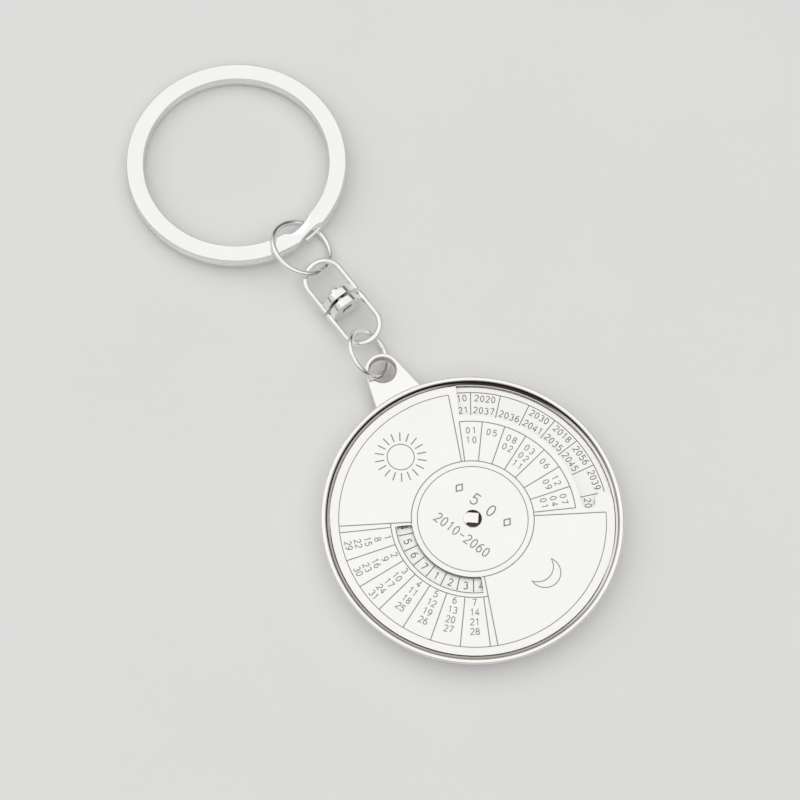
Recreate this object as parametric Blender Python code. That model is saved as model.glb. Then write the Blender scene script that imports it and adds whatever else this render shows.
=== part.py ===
"""Perpetual calendar keyring.

A dished case holds a fixed year disc under a date dial that turns on a rivet.
A small jump ring, a two-bail swivel and a large jump ring join it to a split key ring.
Origin: centre of the case's flat back. +Y runs towards the lug, +Z out of the dial.
"""
import math

import bmesh
import bpy
from mathutils import Matrix, Vector

# Case: a round dish, drawn in towards its back, with a beaded rim
CASE_RADIUS = 0.0200
CASE_WALL = 0.0011
CASE_DRAW_IN = 0.0006
CASE_BACK_ROUND = 0.0010
CASE_FLOOR = 0.00195
RIM_WIDTH = 0.0007
RIM_RISE = 0.00045
RIM_ROUND = 0.0003
LEDGE_DROP = 0.0001

# Lug: a tapered tongue with an eye, cast in one with the case
LUG_HOLE_OFFSET = 0.00427
LUG_HOLE_PLAY = 0.00075
LUG_EYE_WALL = 0.00065
LUG_ROOT_WIDTH = 0.0068
LUG_THICKNESS = 0.0012
LUG_CHAMFER = 0.00015
HOLE_CHAMFER = 0.00028

# Year disc: printed sheet on the case floor
DISC_THICKNESS = 0.0004
DISC_EDGE_GAP = 0.0002
GLUE_GAP = 0.0001

# Date dial: the turning plate with its two windows
PLATE_THICKNESS = 0.0005
PLATE_EDGE_GAP = 0.00012
RUNNING_GAP = 0.0001
YEAR_WINDOW_DEPTH = 0.00418
YEAR_WINDOW_START = math.radians(22.7)
YEAR_WINDOW_END = math.radians(110.0)
YEAR_POCKET_RADIUS = 0.00090
YEAR_TAB_RADIUS = 0.00118
WEEKDAY_INNER_RADIUS = 0.00805
WEEKDAY_WINDOW_DEPTH = 0.0021
WEEKDAY_START = math.radians(-158.2)
WEEKDAY_END = math.radians(-67.4)
WINDOW_CORNER = 0.0002

# Dial rivet: shank in the case floor, low dished head over the dial
RIVET_SHANK_RADIUS = 0.00075
RIVET_HEAD_RADIUS = 0.0012
RIVET_HEAD_HEIGHT = 0.00022
RIVET_DISH_RADIUS = 0.0007
RIVET_DISH_DEPTH = 0.0001
RIVET_FLOOR_LEFT = 0.0004
BORE_GAP = 0.0001

# Jump rings: round wire, butted ends
SMALL_RING_RADIUS = 0.00334
SMALL_RING_WIRE = 0.0008
LARGE_RING_RADIUS = 0.00420
LARGE_RING_WIRE = 0.0008
RING_CUT = 0.00008
RING_CUT_BEARING = math.radians(20.0)

# Swivel: two wire bails, each on a round boss, held by one rivet
BAIL_LENGTH = 0.0071
BAIL_LEG_SINK = 0.00008
BAIL_WIRE = 0.00086
BOSS_RADIUS = 0.00225
BOSS_THICKNESS = 0.0011
BOSS_CHAMFER = 0.0001
BOSS_GAP = 0.00035
SWIVEL_SHANK_RADIUS = 0.0005
SWIVEL_HEAD_RADIUS = 0.00085
SWIVEL_HEAD_HEIGHT = 0.00045
SWIVEL_TAIL_HEIGHT = 0.00022
SWIVEL_TAIL_CHAMFER = 0.00025

# Split key ring: flat strip wound in two turns
KEY_RING_RADIUS = 0.0150
STRIP_WIDTH = 0.00235
STRIP_THICKNESS = 0.0009
STRIP_SLIT = 0.0001
STRIP_CHAMFER = 0.0002
CROSSOVER_TURN = math.radians(17.0)
CROSSOVER_BEARING = math.radians(-84.5)
CROSSOVER_OUTER_SET = 0.00058
CROSSOVER_INNER_SET = 0.00031
STRIP_END_GAP = 0.0003
STRIP_TIP_WIDTH = 0.00036

# How each link hangs in the next, seen from the dial side: play is what is left between two wires,
# side is how far the link lies to the right of the one before it. The small ring's left rises over
# its right. The large ring's middle is lifted to the bail's, and the key ring's near side lies a
# drop below that. The key ring rolls on the wire a little outside and below its band's middle
SMALL_RING_SEAT = (-0.00048, -0.00041)
SMALL_RING_RISE = 0.00453
SMALL_RING_YAW = math.radians(-16.2)
LOWER_BAIL_PLAY = 0.000715
LOWER_BAIL_SIDE = 0.00040
LOWER_BAIL_ROLL = math.radians(-10.7)
UPPER_BAIL_ROLL = math.radians(-14.2)
SWIVEL_YAW = math.radians(8.0)
LARGE_RING_PLAY = 0.000403
LARGE_RING_SIDE = -0.000100
LARGE_RING_LIFT = -0.000022
LARGE_RING_YAW = math.radians(2.2)
KEY_RING_PLAY = 0.00098
KEY_RING_BEARING = math.radians(-6.28)
KEY_RING_DROP = 0.000101
KEY_RING_LEAN = -0.00021
KEY_RING_PIVOT_SHIFT = (-0.00008, 0.00048)
TABLE_GAP = 0.00002

# Facets of the round work
CASE_SEGMENTS = 96
BORE_SEGMENTS = 32
RING_SEGMENTS = 48
WIRE_SIDES = 12
STRIP_SEGMENTS = 64
ROUND_SEGMENTS = 4
SMOOTH_ANGLE = math.radians(32.0)
CUT_OVERRUN = 0.001

# Heights and radii that follow from the sizes above
CAVITY_RADIUS = CASE_RADIUS - CASE_WALL
CASE_FOOT_RADIUS = CASE_RADIUS - CASE_DRAW_IN
PLATE_RADIUS = CAVITY_RADIUS - PLATE_EDGE_GAP
YEAR_WINDOW_RADIUS = PLATE_RADIUS - YEAR_WINDOW_DEPTH
DISC_BOTTOM = CASE_FLOOR + GLUE_GAP
DISC_TOP = DISC_BOTTOM + DISC_THICKNESS
PLATE_BOTTOM = DISC_TOP + RUNNING_GAP
PLATE_TOP = PLATE_BOTTOM + PLATE_THICKNESS
RIM_TOP = PLATE_TOP + RIM_RISE
LUG_MIDDLE = RIM_TOP / 2
HOLE_PLACE = CASE_RADIUS + LUG_HOLE_OFFSET
LUG_HOLE_RADIUS = (SMALL_RING_WIRE + LUG_THICKNESS) / 2 + LUG_HOLE_PLAY
BAIL_HALF_WIDTH = BOSS_RADIUS + BAIL_WIRE / 2 - BAIL_LEG_SINK
BAIL_END = BAIL_LENGTH - BAIL_WIRE / 2
BAND_RADIUS = KEY_RING_RADIUS - STRIP_WIDTH / 2
SWIVEL_HEIGHT = BOSS_RADIUS + TABLE_GAP
LARGE_RING_HEIGHT = SWIVEL_HEIGHT + LARGE_RING_LIFT
SMALL_RING_LEAN = math.asin(SMALL_RING_RISE / SMALL_RING_RADIUS / 2)
LARGE_RING_LEAN = math.asin((LARGE_RING_HEIGHT - LARGE_RING_WIRE / 2 - TABLE_GAP) / LARGE_RING_RADIUS)

# Colours
PLATED = (0.72, 0.72, 0.73)
SATIN = (0.78, 0.77, 0.74)
STEEL = (0.66, 0.66, 0.66)
UP = Vector((0, 0, 1))


def clear_scene():
    for item in list(bpy.data.objects):
        bpy.data.objects.remove(item)


def metal(name, colour, roughness):
    """A bare or plated metal."""
    material = bpy.data.materials.new(name)
    material.use_nodes = True
    shader = material.node_tree.nodes["Principled BSDF"]
    shader.inputs["Base Color"].default_value = (*colour, 1.0)
    shader.inputs["Metallic"].default_value = 1.0
    shader.inputs["Roughness"].default_value = roughness
    return material


def add_object(name, mesh, material=None):
    """Links one mesh to the scene as a named object."""
    item = bpy.data.objects.new(name, mesh)
    bpy.context.scene.collection.objects.link(item)
    if material:
        mesh.materials.append(material)
    return item


def add_pivot(name, place, parent=None):
    """An empty on a joint's axis, in the chain of the pivots before it."""
    empty = bpy.data.objects.new(name, None)
    bpy.context.scene.collection.objects.link(empty)
    empty["place"] = place
    empty.location = place
    if parent:
        empty.parent = parent
        empty.location -= Vector(parent["place"])
    return empty


def hang(item, matrix, pivot):
    """Puts an object where its world matrix says, carried by a pivot."""
    item.parent = pivot
    item.matrix_basis = Matrix.Translation(-Vector(pivot["place"])) @ matrix


def finish_mesh(name, bm):
    """Turns a bmesh into a mesh whose faces point out and whose round faces are smooth."""
    bmesh.ops.recalc_face_normals(bm, faces=bm.faces)
    mesh = bpy.data.meshes.new(name)
    bm.to_mesh(mesh)
    bm.free()
    mesh.shade_smooth()
    mesh.set_sharp_from_angle(angle=SMOOTH_ANGLE)
    return mesh


def arc(centre, radius, start, end, steps):
    """Points along an arc, both ends included."""
    angles = [start + (end - start) * step / steps for step in range(steps + 1)]
    return [(centre[0] + radius * math.cos(a), centre[1] + radius * math.sin(a)) for a in angles]


def polar(radius, bearing):
    """A point by its distance from the case axis and its bearing clockwise from +Y."""
    return (radius * math.sin(bearing), radius * math.cos(bearing))


def turned(name, profile, segments):
    """A solid of revolution about Z, from a (radius, height) profile."""
    bm = bmesh.new()
    rings = []
    for radius, height in profile:
        count = segments if radius > 0 else 1
        angles = [2 * math.pi * k / count for k in range(count)]
        rings.append([bm.verts.new((radius * math.cos(a), radius * math.sin(a), height)) for a in angles])
    pairs = list(zip(rings, rings[1:]))
    if len(rings[0]) > 1 and len(rings[-1]) > 1:
        pairs.append((rings[-1], rings[0]))
    for lower, upper in pairs:
        for k in range(segments):
            corners = [lower[k % len(lower)], lower[(k + 1) % len(lower)]]
            corners += [upper[(k + 1) % len(upper)], upper[k % len(upper)]]
            bm.faces.new(list(dict.fromkeys(corners)))
    return finish_mesh(name, bm)


def extruded(name, outline, bottom, top):
    """A flat plate of the given outline."""
    bm = bmesh.new()
    base = bm.faces.new([bm.verts.new((x, y, bottom)) for x, y in outline])
    grown = bmesh.ops.extrude_face_region(bm, geom=[base])
    lifted = [item for item in grown["geom"] if isinstance(item, bmesh.types.BMVert)]
    bmesh.ops.translate(bm, verts=lifted, vec=(0, 0, top - bottom))
    return finish_mesh(name, bm)


def join_sections(bm, sections):
    """Skins a row of equal sections and caps both ends."""
    count = len(sections[0])
    for first, second in zip(sections, sections[1:]):
        for k in range(count):
            following = (k + 1) % count
            bm.faces.new((first[k], first[following], second[following], second[k]))
    bm.faces.new(list(reversed(sections[0])))
    bm.faces.new(sections[-1])


def tube(name, path, wire):
    """Round wire along a path that lies in the XY plane, with flat ends."""
    bm = bmesh.new()
    points = [Vector((*point, 0)) for point in path]
    circle = [2 * math.pi * k / WIRE_SIDES for k in range(WIRE_SIDES)]
    sections = []
    for before, middle, after in zip(points[:1] + points, points, points[1:] + points[-1:]):
        side = (after - before).cross(UP).normalized()
        spokes = [side * math.cos(angle) + UP * math.sin(angle) for angle in circle]
        sections.append([bm.verts.new(middle + spoke * wire / 2) for spoke in spokes])
    join_sections(bm, sections)
    return finish_mesh(name, bm)


def boolean(item, tool_mesh, operation, place=None):
    """Joins or cuts an object with a tool body that stays out of the model."""
    tool = add_object(item.name + "_" + tool_mesh.name, tool_mesh)
    tool.hide_render = True
    tool.display_type = "WIRE"
    tool.parent = item
    if place:
        tool.matrix_basis = place
    modifier = item.modifiers.new(operation.title(), "BOOLEAN")
    modifier.operation = operation
    modifier.object = tool
    return tool


def bevel_edges(item, width):
    """Rounds an object's sharp edges in two steps."""
    modifier = item.modifiers.new("Edge", "BEVEL")
    modifier.width = width
    modifier.segments = 2
    modifier.limit_method = "ANGLE"


def case_profile():
    """The dish from the middle of its floor, up the wall, over the bead and back under."""
    bore = RIVET_SHANK_RADIUS + BORE_GAP
    ledge = PLATE_TOP - LEDGE_DROP
    wall = CASE_RADIUS - RIM_WIDTH
    bead = RIM_TOP - RIM_ROUND
    profile = [(0, RIVET_FLOOR_LEFT), (bore, RIVET_FLOOR_LEFT), (bore, CASE_FLOOR)]
    profile += [(CAVITY_RADIUS, CASE_FLOOR), (CAVITY_RADIUS, ledge), ((CAVITY_RADIUS + wall) / 2, ledge)]
    profile += arc((wall + RIM_ROUND, bead), RIM_ROUND, math.pi, math.pi / 2, ROUND_SEGMENTS)
    profile += arc((CASE_RADIUS - RIM_ROUND, bead), RIM_ROUND, math.pi / 2, 0, ROUND_SEGMENTS)
    profile += [(CASE_RADIUS, PLATE_TOP)]
    back = (CASE_FOOT_RADIUS - CASE_BACK_ROUND, CASE_BACK_ROUND)
    profile += arc(back, CASE_BACK_ROUND, 0, -math.pi / 2, ROUND_SEGMENTS)
    return profile + [(0, 0)]


def lug_outline():
    """Tapered tongue with a round eye, rooted along the middle of the case wall."""
    eye = LUG_HOLE_RADIUS + LUG_EYE_WALL
    half = LUG_ROOT_WIDTH / 2
    reach = math.hypot(half, LUG_HOLE_OFFSET)
    tangent = math.acos(eye / reach) - math.atan2(LUG_HOLE_OFFSET, half)
    outline = arc((0, HOLE_PLACE), eye, tangent, math.pi - tangent, BORE_SEGMENTS // 2)
    outline += [(-half, CASE_RADIUS)]
    root = (CAVITY_RADIUS + CASE_FOOT_RADIUS) / 2
    spread = math.asin(half / root)
    outline += arc((0, 0), root, math.pi / 2 + spread, math.pi / 2 - spread, ROUND_SEGMENTS)
    return outline + [(half, CASE_RADIUS)]


def eye_cutter():
    """The lug's hole, flared at both mouths."""
    half = LUG_THICKNESS / 2
    mouth = LUG_HOLE_RADIUS + HOLE_CHAMFER + CUT_OVERRUN
    profile = [(0, -half - CUT_OVERRUN), (mouth, -half - CUT_OVERRUN)]
    profile += [(LUG_HOLE_RADIUS, HOLE_CHAMFER - half), (LUG_HOLE_RADIUS, half - HOLE_CHAMFER)]
    profile += [(mouth, half + CUT_OVERRUN), (0, half + CUT_OVERRUN)]
    return turned("eye", profile, BORE_SEGMENTS)


def build_case():
    """The dish and its lug as one casting."""
    plated = metal("plated_casting", PLATED, 0.12)
    case = add_object("case", turned("case", case_profile(), CASE_SEGMENTS), plated)
    bottom = LUG_MIDDLE - LUG_THICKNESS / 2
    lug = boolean(case, extruded("lug", lug_outline(), bottom, bottom + LUG_THICKNESS), "UNION")
    bevel_edges(lug, LUG_CHAMFER)
    boolean(case, eye_cutter(), "DIFFERENCE", Matrix.Translation((0, HOLE_PLACE, LUG_MIDDLE)))


def build_year_disc():
    """Printed sheet that lies fixed on the case floor."""
    bore = RIVET_SHANK_RADIUS + BORE_GAP
    edge = CAVITY_RADIUS - DISC_EDGE_GAP
    profile = [(bore, DISC_BOTTOM), (edge, DISC_BOTTOM), (edge, DISC_TOP), (bore, DISC_TOP)]
    add_object("year_disc", turned("year_disc", profile, CASE_SEGMENTS), metal("printed_sheet", SATIN, 0.42))


def year_window_outline():
    """Open notch: straight left edge, round pocket for the inner row, round tab by the rim."""
    clear = CAVITY_RADIUS + CUT_OVERRUN
    steps = BORE_SEGMENTS // 2
    span = YEAR_WINDOW_END - YEAR_WINDOW_START
    inner = [polar(YEAR_WINDOW_RADIUS, YEAR_WINDOW_START + span * k / steps) for k in range(steps + 1)]
    inward = -math.pi / 2 - YEAR_WINDOW_END
    pocket_place = polar(YEAR_WINDOW_RADIUS + YEAR_POCKET_RADIUS, YEAR_WINDOW_END)
    pocket = arc(pocket_place, YEAR_POCKET_RADIUS, inward, inward + math.pi, steps)
    tab_radius = YEAR_WINDOW_RADIUS + 2 * YEAR_POCKET_RADIUS + YEAR_TAB_RADIUS
    tab = arc(polar(tab_radius, YEAR_WINDOW_END), YEAR_TAB_RADIUS, inward, inward - math.pi, steps)
    outer = [polar(clear, YEAR_WINDOW_END - span * k / steps) for k in range(steps + 1)]
    return inner + pocket[1:] + tab[1:] + outer


def weekday_window_outline():
    """Closed arc slot with square ends."""
    steps = BORE_SEGMENTS // 2
    span = WEEKDAY_END - WEEKDAY_START
    bearings = [WEEKDAY_START + span * k / steps for k in range(steps + 1)]
    inner = [polar(WEEKDAY_INNER_RADIUS, bearing) for bearing in bearings]
    outer_radius = WEEKDAY_INNER_RADIUS + WEEKDAY_WINDOW_DEPTH
    outer = [polar(outer_radius, bearing) for bearing in reversed(bearings)]
    return inner + outer


def build_date_plate():
    """The turning plate, its object's origin on the dial's axis."""
    bore = RIVET_SHANK_RADIUS + BORE_GAP
    profile = [(bore, PLATE_BOTTOM), (PLATE_RADIUS, PLATE_BOTTOM)]
    profile += [(PLATE_RADIUS, PLATE_TOP), (bore, PLATE_TOP)]
    mesh = turned("date_plate", profile, CASE_SEGMENTS)
    plate = add_object("date_plate", mesh, metal("printed_plate", SATIN, 0.36))
    low = PLATE_BOTTOM - CUT_OVERRUN
    high = PLATE_TOP + CUT_OVERRUN
    boolean(plate, extruded("year_window", year_window_outline(), low, high), "DIFFERENCE")
    slot = boolean(plate, extruded("weekday_window", weekday_window_outline(), low, high), "DIFFERENCE")
    bevel_edges(slot, WINDOW_CORNER)


def build_dial_rivet():
    """Shank in its blind bore and a low head whose middle is dished by the setting tool."""
    bottom = RIVET_FLOOR_LEFT + BORE_GAP
    seat = PLATE_TOP + RUNNING_GAP
    top = seat + RIVET_HEAD_HEIGHT
    profile = [(0, bottom), (RIVET_SHANK_RADIUS, bottom), (RIVET_SHANK_RADIUS, seat)]
    profile += [(RIVET_HEAD_RADIUS, seat), (RIVET_HEAD_RADIUS, seat + RIVET_HEAD_HEIGHT / 2)]
    profile += [(RIVET_DISH_RADIUS, top), (RIVET_DISH_RADIUS / 2, top - RIVET_DISH_DEPTH)]
    profile += [(0, top - RIVET_DISH_DEPTH)]
    add_object("dial_rivet", turned("dial_rivet", profile, BORE_SEGMENTS), metal("rivet_metal", PLATED, 0.2))


def link_matrix(place, height, yaw, lean):
    """Turns a flat link about Z, then leans its right side down about its own length."""
    turn = Matrix.Rotation(yaw, 4, "Z") @ Matrix.Rotation(lean, 4, "Y")
    return Matrix.Translation((*place, height)) @ turn


def ahead(yaw):
    """The direction along a link, away from the case."""
    return Vector((-math.sin(yaw), math.cos(yaw)))


def across(yaw):
    """The direction over a link, to its right."""
    return Vector((math.cos(yaw), math.sin(yaw)))


def small_ring_matrix():
    """The ring's wire crosses the lug's middle plane at its seat in the eye."""
    height = (SMALL_RING_RISE + SMALL_RING_WIRE) / 2 + TABLE_GAP
    turn = link_matrix((0, 0), height, SMALL_RING_YAW, SMALL_RING_LEAN)
    cosine = (height - LUG_MIDDLE) / (SMALL_RING_RADIUS * math.sin(SMALL_RING_LEAN))
    sine = -math.sqrt(1 - cosine * cosine)
    crossing = turn @ (Vector((cosine, sine, 0)) * SMALL_RING_RADIUS)
    seat = Vector((SMALL_RING_SEAT[0], HOLE_PLACE + SMALL_RING_SEAT[1]))
    return link_matrix(seat - crossing.xy, height, SMALL_RING_YAW, SMALL_RING_LEAN)


def swivel_matrix(small_ring, roll):
    """The swivel's middle, its lower bail hooked over the far side of the small ring."""
    far = small_ring.translation.xy + ahead(SMALL_RING_YAW) * SMALL_RING_RADIUS
    hold = (SMALL_RING_WIRE + BAIL_WIRE) / 2 + LOWER_BAIL_PLAY
    place = far + ahead(SWIVEL_YAW) * (BAIL_END - hold) + across(SWIVEL_YAW) * LOWER_BAIL_SIDE
    return link_matrix(place, SWIVEL_HEIGHT, SWIVEL_YAW, roll)


def large_ring_matrix(swivel):
    """The ring's near side hooked in the upper bail's end."""
    hold = (LARGE_RING_WIRE + BAIL_WIRE) / 2 + LARGE_RING_PLAY
    near = swivel.translation.xy + ahead(SWIVEL_YAW) * (BAIL_END - hold) + across(SWIVEL_YAW) * LARGE_RING_SIDE
    place = near + ahead(LARGE_RING_YAW) * LARGE_RING_RADIUS
    return link_matrix(place, LARGE_RING_HEIGHT, LARGE_RING_YAW, LARGE_RING_LEAN)


def key_ring_matrix(large_ring):
    """The key ring's near side over the large ring's wire, its far side on the table."""
    far = large_ring.translation.xy + ahead(LARGE_RING_YAW) * LARGE_RING_RADIUS
    hold = (LARGE_RING_WIRE + STRIP_WIDTH) / 2 + KEY_RING_PLAY
    place = far + Vector(polar(BAND_RADIUS, KEY_RING_BEARING)) - Vector((0, hold))
    flat_height = STRIP_THICKNESS + STRIP_SLIT / 2 + TABLE_GAP
    rise = LARGE_RING_HEIGHT - KEY_RING_DROP - flat_height
    lift = math.asin(rise / (KEY_RING_RADIUS + BAND_RADIUS))
    roll = math.asin(KEY_RING_LEAN / KEY_RING_RADIUS / 2)
    level = math.cos(lift) * math.cos(roll)
    slope = math.sqrt(1 - level * level)
    height = KEY_RING_RADIUS * slope + (STRIP_THICKNESS + STRIP_SLIT / 2) * level + TABLE_GAP
    tilt = Matrix.Rotation(-lift, 4, "X") @ Matrix.Rotation(roll, 4, "Y")
    return Matrix.Translation((*place, height)) @ tilt


def build_jump_ring(name, radius, wire, material):
    """Round wire in the XY plane, cut once."""
    gap = RING_CUT / radius / 2
    path = arc((0, 0), radius, RING_CUT_BEARING + gap, RING_CUT_BEARING + 2 * math.pi - gap, RING_SEGMENTS)
    return add_object(name, tube(name, path, wire), material)


def bail_mesh(name):
    """U of round wire: two legs and a half circle, open end at the boss."""
    bend = BAIL_END - BAIL_HALF_WIDTH
    start = BOSS_GAP / 2 + BOSS_CHAMFER
    path = [(BAIL_HALF_WIDTH, start)]
    path += arc((0, bend), BAIL_HALF_WIDTH, 0, math.pi, RING_SEGMENTS // 2)
    path += [(-BAIL_HALF_WIDTH, start)]
    return tube(name, path, BAIL_WIRE)


def boss_mesh():
    """Round boss between the legs, bored for the swivel rivet; its axis is the Z of this mesh."""
    low = BOSS_GAP / 2
    high = low + BOSS_THICKNESS
    bore = SWIVEL_SHANK_RADIUS + BORE_GAP
    edge = BOSS_RADIUS - BOSS_CHAMFER
    profile = [(bore, low), (edge, low), (BOSS_RADIUS, low + BOSS_CHAMFER)]
    profile += [(BOSS_RADIUS, high - BOSS_CHAMFER), (edge, high), (bore, high)]
    return turned("boss", profile, BORE_SEGMENTS)


def build_bail(name, material):
    """One bail with its boss, standing along +Y from the swivel's middle."""
    bail = add_object(name, bail_mesh(name), material)
    boolean(bail, boss_mesh(), "UNION", Matrix.Rotation(-math.pi / 2, 4, "X"))
    return bail


def build_swivel_rivet(material):
    """Flat tail in the lower bail, shank through both bosses, domed head in the upper bail."""
    reach = BOSS_GAP / 2 + BOSS_THICKNESS + RUNNING_GAP
    tail = -reach - SWIVEL_TAIL_HEIGHT
    profile = [(0, tail), (SWIVEL_HEAD_RADIUS - SWIVEL_TAIL_CHAMFER, tail), (SWIVEL_HEAD_RADIUS, -reach)]
    profile += [(SWIVEL_SHANK_RADIUS, -reach), (SWIVEL_SHANK_RADIUS, reach)]
    dome = arc((0, 0), 1, 0, math.pi / 2, ROUND_SEGMENTS)
    profile += [(SWIVEL_HEAD_RADIUS * x, reach + SWIVEL_HEAD_HEIGHT * y) for x, y in dome[:-1]]
    profile += [(0, reach + SWIVEL_HEAD_HEIGHT)]
    return add_object("swivel_rivet", turned("swivel_rivet", profile, BORE_SEGMENTS), material)


def strip_station(turn):
    """Middle height and both radii of the strip after a turn from its upper free end."""
    upper = (STRIP_THICKNESS + STRIP_SLIT) / 2
    inner = KEY_RING_RADIUS - STRIP_WIDTH
    fall = min(max((turn - 2 * math.pi) / CROSSOVER_TURN + 1, 0), 1)
    ease = fall * fall * (3 - 2 * fall)
    neck = math.sqrt(math.sin(math.pi * fall))
    height = upper - 2 * upper * ease
    inner += neck * CROSSOVER_INNER_SET
    outer = KEY_RING_RADIUS - neck * CROSSOVER_OUTER_SET
    return height, inner, outer


def tip_cut(turn, body_end, tip_start):
    """How far the lower free end is cut back from the strip's inner edge."""
    share = min(max((turn - body_end) / (tip_start - body_end), 0), 1)
    return share * (STRIP_WIDTH - STRIP_TIP_WIDTH)


def strip_section(turn, height, inner, outer):
    """Chamfered rectangle across the strip, in the ring's own frame."""
    half = STRIP_THICKNESS / 2
    cut = min(STRIP_CHAMFER, (outer - inner) / 4)
    corners = [(inner, cut - half), (inner + cut, -half), (outer - cut, -half), (outer, cut - half)]
    corners += [(outer, half - cut), (outer - cut, half), (inner + cut, half), (inner, half - cut)]
    angle = CROSSOVER_BEARING - turn
    return [(r * math.cos(angle), r * math.sin(angle), height + h) for r, h in corners]


def strip_turns():
    """Turns at which the strip gets a section: even along its body, closer at both its ends."""
    end_gap = STRIP_END_GAP / KEY_RING_RADIUS
    crossover = 2 * math.pi - CROSSOVER_TURN
    body_end = 2 * math.pi + crossover - end_gap
    tip_start = body_end + STRIP_WIDTH / KEY_RING_RADIUS / 2
    tip_end = 4 * math.pi - STRIP_WIDTH / KEY_RING_RADIUS - end_gap
    marks = [(0, crossover, STRIP_SEGMENTS), (crossover, 2 * math.pi, 2 * ROUND_SEGMENTS)]
    marks += [(2 * math.pi, body_end, STRIP_SEGMENTS), (body_end, tip_start, 1)]
    marks += [(tip_start, tip_end, ROUND_SEGMENTS)]
    turns = [start + (end - start) * k / steps for start, end, steps in marks for k in range(steps)]
    return turns + [tip_end], body_end, tip_start


def build_key_ring(material):
    """Two turns of flat strip that cross over once between their free ends."""
    bm = bmesh.new()
    sections = []
    turns, body_end, tip_start = strip_turns()
    for turn in turns:
        height, inner, outer = strip_station(turn)
        inner += tip_cut(turn, body_end, tip_start)
        sections.append([bm.verts.new(point) for point in strip_section(turn, height, inner, outer)])
    join_sections(bm, sections)
    return add_object("split_key_ring", finish_mesh("split_key_ring", bm), material)


def build_links():
    """The five links, each carried by a pivot on the axis that it swings or spins about."""
    wire = metal("plated_wire", PLATED, 0.1)
    small_matrix = small_ring_matrix()
    lower_matrix = swivel_matrix(small_matrix, LOWER_BAIL_ROLL) @ Matrix.Rotation(math.pi, 4, "Z")
    upper_matrix = swivel_matrix(small_matrix, UPPER_BAIL_ROLL)
    large_matrix = large_ring_matrix(upper_matrix)
    key_matrix = key_ring_matrix(large_matrix)
    small_pivot = add_pivot("small_ring_pivot", Vector((0, HOLE_PLACE, LUG_MIDDLE)))
    lower_place = lower_matrix @ Vector((0, BAIL_END, 0))
    lower_pivot = add_pivot("lower_bail_pivot", lower_place, small_pivot)
    spin_pivot = add_pivot("swivel_pivot", upper_matrix.translation, lower_pivot)
    large_place = large_matrix @ Vector((0, -LARGE_RING_RADIUS, 0))
    large_pivot = add_pivot("large_ring_pivot", large_place, spin_pivot)
    band = Vector((0, -BAND_RADIUS - KEY_RING_PIVOT_SHIFT[0], -KEY_RING_PIVOT_SHIFT[1]))
    key_pivot = add_pivot("key_ring_pivot", key_matrix @ band, large_pivot)
    small = build_jump_ring("small_jump_ring", SMALL_RING_RADIUS, SMALL_RING_WIRE, wire)
    large = build_jump_ring("large_jump_ring", LARGE_RING_RADIUS, LARGE_RING_WIRE, wire)
    hang(small, small_matrix, small_pivot)
    hang(build_bail("swivel_lower_bail", wire), lower_matrix, lower_pivot)
    hang(build_bail("swivel_upper_bail", wire), upper_matrix, spin_pivot)
    rivet_matrix = lower_matrix @ Matrix.Rotation(math.pi / 2, 4, "X")
    hang(build_swivel_rivet(wire), rivet_matrix, lower_pivot)
    hang(large, large_matrix, large_pivot)
    hang(build_key_ring(metal("strip_steel", STEEL, 0.16)), key_matrix, key_pivot)


def main():
    clear_scene()
    build_case()
    build_year_disc()
    build_date_plate()
    build_dial_rivet()
    build_links()


main()
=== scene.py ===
"""Looks of the perpetual calendar keyring: camera, light, materials, printing and fine pieces.

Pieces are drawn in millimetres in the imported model's frame and become metres when they are made.
Bearings are in degrees clockwise from +Y, which points from the dial to the lug.
"""

import math

import bmesh
import bpy
from mathutils import Matrix, Vector


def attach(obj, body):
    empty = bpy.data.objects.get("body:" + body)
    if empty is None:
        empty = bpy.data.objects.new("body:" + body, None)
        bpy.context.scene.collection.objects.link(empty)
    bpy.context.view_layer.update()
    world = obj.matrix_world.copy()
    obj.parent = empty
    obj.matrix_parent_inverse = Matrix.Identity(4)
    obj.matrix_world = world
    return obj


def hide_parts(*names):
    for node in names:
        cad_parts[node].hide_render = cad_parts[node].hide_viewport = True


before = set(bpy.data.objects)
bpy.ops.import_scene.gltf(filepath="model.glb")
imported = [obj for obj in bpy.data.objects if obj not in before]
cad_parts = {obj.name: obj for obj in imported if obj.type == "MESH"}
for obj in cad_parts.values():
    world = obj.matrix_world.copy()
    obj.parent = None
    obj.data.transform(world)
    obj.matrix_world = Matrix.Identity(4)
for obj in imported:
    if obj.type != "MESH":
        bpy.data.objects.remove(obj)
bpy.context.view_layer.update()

MM = 0.001
UP = Vector((0, 0, 1))

# Camera and its aim, in metres
FOCAL_LENGTH = 163.53
SENSOR = 36.0
AIM = Vector((0.000327, 0.01997, 0.00045))
CAMERA_DISTANCE = 0.4868
CAMERA_ELEVATION = math.radians(69.12)
CAMERA_BEARING = math.radians(34.73)
CAMERA_ROLL = math.radians(5.79)
CLIP_START = 0.01
CLIP_END = 50

# Case, lug and dial, in millimetres
CASE_RADIUS = 20.0
CAVITY_RADIUS = 18.9
CASE_FLOOR = 1.95
CASE_FOOT = 19.4
BACK_ROUND = 1.0
RIM_WIDTH = 0.7
RIM_ROUND = 0.3
BEAD_FOOT = 0.05
INNER_EASE = 0.05
SHOULDER_EASE = 0.3
LEDGE = 2.95
LEDGE_RADIUS = 19.18
RIM_TOP = 3.5
BORE = 0.85
BLIND_FLOOR = 0.4
DISC_TOP = 2.45
PLATE_TOP = 3.05
PLATE_EDGE_ROUND = 0.08
HOLE_Y = 24.27
HOLE_RADIUS = 1.75
EYE_RADIUS = 2.4
EYE_LIP = 0.26
LUG_ROOT = 3.4
LUG_THICKNESS = 1.2
LUG_MIDDLE = 1.75
LUG_EDGE_ROUND = 0.2
CUT_OVERRUN = 1.0

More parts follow.
